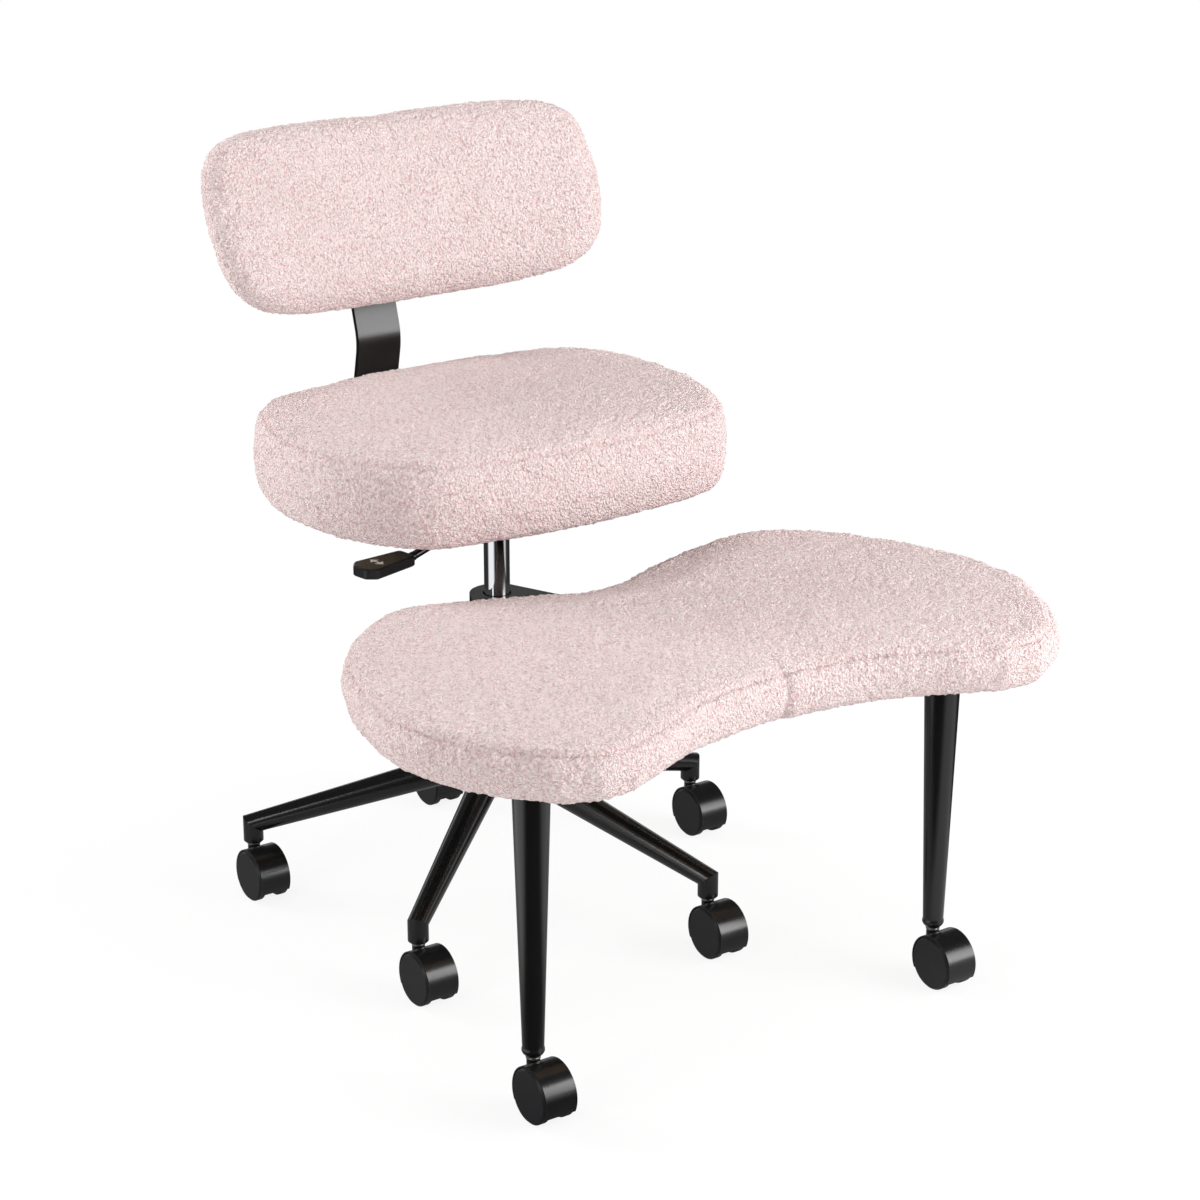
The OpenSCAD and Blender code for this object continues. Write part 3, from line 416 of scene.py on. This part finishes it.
def coordinates(mesh):
    values = np.empty(len(mesh.vertices) * 3, np.float32)
    mesh.vertices.foreach_get("co", values)
    return values.reshape(-1, 3).astype(float)


def normals(mesh):
    values = np.empty(len(mesh.vertices) * 3, np.float32)
    mesh.vertices.foreach_get("normal", values)
    return values.reshape(-1, 3).astype(float)


def setCoordinates(mesh, points):
    mesh.vertices.foreach_set("co", points.astype(np.float32).ravel())
    mesh.update()


def pushOut(piece, amounts):
    # moves each point along its own normal
    points, out = coordinates(piece.data), normals(piece.data)
    setCoordinates(piece.data, points + out * amounts[:, None])


def bell(offsets, width):
    return np.exp(-((offsets / width) ** 2))


def looseCopy(name, node):
    piece = bpy.data.objects.new(name, frame["nodes"][node].data.copy())
    scene.collection.objects.link(piece)
    shape = bmesh.new()
    shape.from_mesh(piece.data)
    bmesh.ops.remove_doubles(shape, verts=shape.verts, dist=2e-5)
    bmesh.ops.recalc_face_normals(shape, faces=shape.faces)
    shape.to_mesh(piece.data)
    shape.free()
    return piece


def settle(piece):
    # writes what the modifiers make into the mesh, and drops them
    graph = bpy.context.evaluated_depsgraph_get()
    made = bpy.data.meshes.new_from_object(piece.evaluated_get(graph))
    piece.modifiers.clear()
    piece.data = made


def distanceTo(node, points, most):
    source = frame["nodes"][node].data
    tree = BVHTree.FromPolygons([v.co for v in source.vertices], [p.vertices for p in source.polygons])
    found = np.full(len(points), most)
    for i, point in enumerate(points):
        distance = tree.find_nearest(Vector(point), most)[3]
        if distance is not None:
            found[i] = distance
    return found


def remeshed(piece, voxel):
    grid = piece.modifiers.new("grid", "REMESH")
    grid.mode = "VOXEL"
    grid.voxel_size = voxel
    grid.use_smooth_shade = True
    ease = piece.modifiers.new("ease", "SMOOTH")
    ease.factor = 0.5
    ease.iterations = 2
    settle(piece)


def puffed(piece, cushion, cloth):
    start = coordinates(piece.data)
    seated = distanceTo(cushion["board"], start, boardReach) < cloth["nearBoard"]
    group = piece.vertex_groups.new(name="seated")
    group.add([int(i) for i in np.nonzero(seated)[0]], 1.0, "REPLACE")
    sim = piece.modifiers.new("puff", "CLOTH")
    sim.settings.quality = cloth["quality"]
    sim.settings.mass = cloth["mass"]
    sim.settings.tension_stiffness = cloth["stiffness"]
    sim.settings.compression_stiffness = cloth["stiffness"]
    sim.settings.use_pressure = True
    sim.settings.uniform_pressure_force = cloth["pressure"]
    sim.settings.effector_weights.gravity = 0.0
    sim.settings.vertex_group_mass = "seated"
    sim.collision_settings.use_collision = False
    sim.point_cache.frame_start = 1
    sim.point_cache.frame_end = cloth["frames"]
    for step in range(1, cloth["frames"] + 1):
        scene.frame_set(step)
    graph = bpy.context.evaluated_depsgraph_get()
    moved = coordinates(piece.evaluated_get(graph).to_mesh()) - start
    piece.evaluated_get(graph).to_mesh_clear()
    piece.modifiers.clear()
    scene.frame_set(1)
    # no point moves further than the swell allows, and small moves stay much as they are
    far = np.linalg.norm(moved, axis=1)
    most = cushion["swell"]
    eased = most * (1.0 - np.exp(-far / most))
    setCoordinates(piece.data, start + moved * (eased / np.maximum(far, 1e-9))[:, None])
    print("stage:", piece.name, "swelled by up to", round(float(eased.max()) * 1000, 1), "mm")


def hashed(cells, seed):
    # three repeatable numbers from 0 to 1 for each cell of a grid
    mixed = (cells[:, 0] * 73856093) ^ (cells[:, 1] * 19349663) ^ (cells[:, 2] * 83492791) ^ (seed * 2654435)
    out = []
    for turn in range(3):
        mixed = (mixed ^ (mixed >> 13)) * 1274126177 & 0x7FFFFFFF
        mixed = mixed ^ (mixed >> 16)
        out.append((mixed % 100003) / 100003.0)
    return np.stack(out, axis=1)


def nubs(points, size, seed):
    # rounded curls scattered one to a cell: 1 on a curl's crown, 0 between curls
    stray, width, roundness = 0.9, 0.95, 0.7
    scaled = points / size
    base = np.floor(scaled).astype(np.int64)
    nearest = np.full(len(points), 9.0)
    for dx in (-1, 0, 1):
        for dy in (-1, 0, 1):
            for dz in (-1, 0, 1):
                cell = base + np.array([dx, dy, dz])
                heart = cell + 0.5 + (hashed(cell, seed) - 0.5) * stray
                nearest = np.minimum(nearest, np.linalg.norm(scaled - heart, axis=1))
    return np.clip(1.0 - nearest / width, 0.0, 1.0) ** roundness


def curled(piece, cushion, curls):
    points = coordinates(piece.data)
    broad, fine = curls["lumpScales"]
    clear = np.clip(distanceTo(cushion["board"], points, boardReach) / curls["clearOfBoard"], 0.0, 1.0)
    lumps = np.array([noise.noise(Vector(p) * broad) + 0.5 * noise.noise(Vector(p) * fine) for p in points])
    rise = nubs(points, curls["size"], cushion["seed"]) * curls["rise"] + lumps * curls["lump"]
    pushOut(piece, rise * clear)


def sewTop(piece, seam):
    off = (normals(piece.data)[:, 2] - seam["upright"]) / seam["spread"]
    groove = bell(off, 1.0)
    welt = bell(np.abs(off) - seam["weltAside"], 1.0)
    pushOut(piece, welt * seam["welt"] - groove * seam["depth"])
    return groove


def sewFront(piece, seam):
    points = coordinates(piece.data)
    inFront = np.clip((seam["front"] - points[:, 1]) / seam["frontFade"], 0, 1)
    below = np.clip((seam["top"] - points[:, 2]) / seam["topFade"], 0, 1)
    x = points[:, 0] - seam["middle"]
    groove = seam["lap"] * bell(x - seam["lapAside"], seam["lapWidth"]) - seam["depth"] * bell(x, seam["width"])
    pushOut(piece, inFront * below * groove)


def sewMiddle(piece, seam):
    points = coordinates(piece.data)
    below = points[:, 2].max() - points[:, 2]
    fade = np.clip(1.0 - below / seam["reach"], 0, 1) ** 1.2
    x = points[:, 0]
    groove = seam["depth"] * bell(x, seam["width"]) + seam["crease"] * bell(x, seam["creaseWidth"])
    pushOut(piece, -fade * groove)


def makeRoom(piece, room):
    points, out = coordinates(piece.data), normals(piece.data)
    reach = np.hypot(points[:, 0], points[:, 1])
    share = np.clip((room["within"] + room["fade"] - reach) / room["fade"], 0, 1)
    smooth = share * share * (3 - 2 * share)
    points[:, 2] -= smooth * np.clip(out[:, 2] * 2, 0, 1) * room["drop"]
    setCoordinates(piece.data, points)


for name, cushion in cushions.items():
    piece = looseCopy(name, cushion["node"])
    pushOut(piece, np.full(len(piece.data.vertices), -cushion["under"]))
    remeshed(piece, cushion["voxel"])
    puffed(piece, cushion, clothRun)
    finer = piece.modifiers.new("finer", "SUBSURF")
    finer.levels = finer.render_levels = 1
    settle(piece)
    groove = sewTop(piece, topSeam) if cushion["topSewn"] else np.zeros(len(piece.data.vertices))
    if "frontSeam" in cushion:
        sewFront(piece, cushion["frontSeam"])
    if "middleSeam" in cushion:
        sewMiddle(piece, cushion["middleSeam"])
    if "room" in cushion:
        makeRoom(piece, cushion["room"])
    curled(piece, cushion, curlSizes)
    # the top seam's groove is kept as crease, the mask for the painted seam shade
    crease = piece.data.attributes.new("crease", "FLOAT", "POINT")
    crease.data.foreach_set("value", groove.astype(np.float32))
    piece.data.materials.clear()
    piece.data.materials.append(slotFinishes["pink_boucle"])
    piece.data.polygons.foreach_set("use_smooth", [True] * len(piece.data.polygons))
    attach(piece, cushion["body"])
    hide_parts(cushion["node"])
    print("stage:", name, len(piece.data.polygons), "faces")


# the lever's mark: a plain arrow up and down, laid on the paddle's top face
leverMark = {
    "middle": (-0.1765, -0.0474, 0.43075),
    "turn": 101.0,
    "length": 0.02,
    "head": 0.0068,
    "half": 0.0056,      # half the head's width
    "stroke": 0.0018,
    "thick": 0.00025,
    "print": {"colour": rgb(0.62, 0.62, 0.62), "rough": 0.5, "spread": 0.05, "peel": 900.0,
              "shine": 0.4, "coat": 0.0},
}


def arrowMark(mark):
    half, head, wide, line = mark["length"] / 2, mark["head"], mark["half"], mark["stroke"] / 2
    shape = bmesh.new()
    for way in (-1, 1):
        tip, neck = way * half, way * (half - head)
        corners = [(tip, 0.0), (neck, wide), (neck, -wide)]
        shape.faces.new([shape.verts.new((x, y, 0.0)) for x, y in corners[::way]])
    stem = [(-half + head, -line), (half - head, -line), (half - head, line), (-half + head, line)]
    shape.faces.new([shape.verts.new((x, y, 0.0)) for x, y in stem])
    grown = bmesh.ops.extrude_face_region(shape, geom=shape.faces[:])
    rise = [v for v in grown["geom"] if isinstance(v, bmesh.types.BMVert)]
    bmesh.ops.translate(shape, verts=rise, vec=(0, 0, mark["thick"]))
    bmesh.ops.recalc_face_normals(shape, faces=shape.faces)
    mesh = bpy.data.meshes.new("leverArrow")
    shape.to_mesh(mesh)
    shape.free()
    mesh.transform(Matrix.Translation(mark["middle"]) @ Matrix.Rotation(math.radians(mark["turn"]), 4, "Z"))
    piece = bpy.data.objects.new("leverArrow", mesh)
    scene.collection.objects.link(piece)
    return piece


arrow = arrowMark(leverMark)
arrow.data.materials.append(mouldedFinish("leverPrint", leverMark["print"]))
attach(arrow, "lever")
print("stage: lever marked")


floorLooks = {
    "size": 14.0,
    "shade": 0.85,
    "dust": 1.02,             # how much paler the floor's pale patches are
    "white": 0.87,            # share of plain white that the camera sees in the floor near the chair
    "whiteFrom": (0.7, 1.0),  # it grows to all white from here, over this length
    # painted reflections, glowing only for glossy rays, for polished parts to mirror: a pale patch near the
    # chair, then bright strips on a dim floor
    "near": 0.3,
    "nearEdge": (0.62, 0.2),
    "dim": 0.03,
    # a strip's angle round the column, half its width, its soft edge and its brightness
    "strips": ((-174.0, 27.0, 14.0, 1.0), (-62.0, 26.0, 14.0, 0.62)),
}


# painted reflections: how brightly the floor glows for glossy rays, in strips round the column and a patch near
# the chair
def paintedFloorReflections(paint, place, looks):
    east, north, up = paint.axes(place)
    far = looks["dim"]
    for angle, half, soft, bright in looks["strips"]:
        towards = math.radians(angle)
        forward = east * math.cos(towards) + north * math.sin(towards)
        aside = north * math.cos(towards) - east * math.sin(towards)
        turned = aside.reckon("ARCTAN2", aside, forward)
        off = turned.reckon("ABSOLUTE", turned)
        share = clipped(0.5 - (off - math.radians(half)) / math.radians(soft))
        far = share * (bright - looks["dim"]) + far
    reach = (east * east + north * north) ** 0.5
    near = clipped((looks["nearEdge"][0] - reach) / looks["nearEdge"][1])
    return far + near * (looks["near"] - far)


def paleFloor(looks):
    paint = Paint(bpy.data.materials.new("paleFloor"))
    place = paint.place()
    dust = paint.cloud(place, 3.0, 2.0)
    tone = paint.mixColours(dust, grey(looks["shade"]), grey(looks["shade"] * looks["dust"]))
    matte = paint.node("ShaderNodeBsdfDiffuse", None, {"Color": tone, "Roughness": 0.6})
    white = paint.node("ShaderNodeEmission", None, {"Color": grey(1.0), "Strength": 1.0})
    black = paint.node("ShaderNodeEmission", None, {"Color": grey(0.0), "Strength": 0.0})
    beyond = paint.node("ShaderNodeVectorMath", {"operation": "LENGTH"}, {0: place}, output="Value")
    clear = clipped((beyond - looks["whiteFrom"][0]) / looks["whiteFrom"][1])
    share = looks["white"] + clear * (1.0 - looks["white"])
    seen = paint.mixShaders(paint.seenBy("Is Camera Ray") * share, matte, white)
    # glossy rays see the floor glow white by the painted reflection pattern, and dark elsewhere
    mirrored = paint.mixShaders(paintedFloorReflections(paint, place, looks), black, white)
    whole = paint.mixShaders(paint.seenBy("Is Glossy Ray"), seen, mirrored)
    paint.node("ShaderNodeOutputMaterial", None, {"Surface": whole})
    return paint.owner


half = floorLooks["size"] / 2
floorMesh = bpy.data.meshes.new("studioFloor")
corners = [(-half, -half, 0), (half, -half, 0), (half, half, 0), (-half, half, 0)]
floorMesh.from_pydata(corners, [], [(0, 1, 2, 3)])
floorMesh.materials.append(paleFloor(floorLooks))
floorPlane = bpy.data.objects.new("studioFloor", floorMesh)
scene.collection.objects.link(floorPlane)


# name: (place, aimed at, width, height, watts, seen in polished parts)
lamps = {
    "rightSoftbox": ((1.4, -2.25, 1.15), (0.0, -0.2, 0.45), 1.1, 1.5, 46.0, True),
    "topSoftbox": ((-0.2, -0.1, 2.9), (0.0, -0.2, 0.4), 1.8, 1.6, 14.0, True),
    "leftStrip": ((-2.6, -0.9, 1.1), (0.0, -0.2, 0.4), 0.5, 1.6, 15.0, True),
    "keyPanel": ((2.0, -1.6, 1.3), (0.0, -0.2, 0.45), 0.8, 0.8, 20.0, False),
    "rakePanel": ((-1.5, 1.9, 1.4), (0.0, -0.1, 0.5), 0.9, 0.9, 40.0, False),
}

for name, (place, aim, width, height, watts, inGloss) in lamps.items():
    lamp = bpy.data.lights.new(name, "AREA")
    lamp.shape = "RECTANGLE"
    lamp.size = width
    lamp.size_y = height
    lamp.energy = watts
    holder = bpy.data.objects.new(name, lamp)
    scene.collection.objects.link(holder)
    holder.visible_glossy = inGloss
    holder.location = place
    turnTo(holder, Vector(aim) - Vector(place))


# white walls and a dimmer ceiling light the object; polished parts mirror the walls, a dim ceiling and
# a dim camera side; the camera itself sees plain white
room = {
    "walls": 0.78,
    "ceiling": 0.62,
    "dimGloss": 0.07,
    "ceilingEdge": (0.1, 0.25),     # where the ceiling begins, and over how much height
    "cameraEdge": (0.5, 0.2),
}


def studioRoom(looks):
    paint = Paint(bpy.data.worlds.new("studioRoom"))
    east, north, up = paint.axes(paint.node("ShaderNodeTexCoord", output="Generated"))
    ceiling = clipped((up - looks["ceilingEdge"][0]) / looks["ceilingEdge"][1])
    turn = math.radians(cameraView["azimuth"])
    towards = east * math.sin(turn) - north * math.cos(turn)
    cameraSide = clipped((towards - looks["cameraEdge"][0]) / looks["cameraEdge"][1])
    lit = looks["walls"] + ceiling * (looks["ceiling"] - looks["walls"])
    mirrored = 1.0 + ceiling.atLeast(cameraSide) * (looks["dimGloss"] - 1.0)
    straight = paint.seenBy("Is Camera Ray") + paint.seenBy("Is Transmission Ray")
    strength = lit + straight * (1.0 - lit) + paint.seenBy("Is Glossy Ray") * (mirrored - lit)
    backdrop = paint.node("ShaderNodeBackground", None, {"Color": grey(1.0), "Strength": strength})
    paint.node("ShaderNodeOutputWorld", None, {"Surface": backdrop})
    return paint.owner


scene.world = studioRoom(room)
scene.view_settings.view_transform = "Standard"
print("stage: studio set")
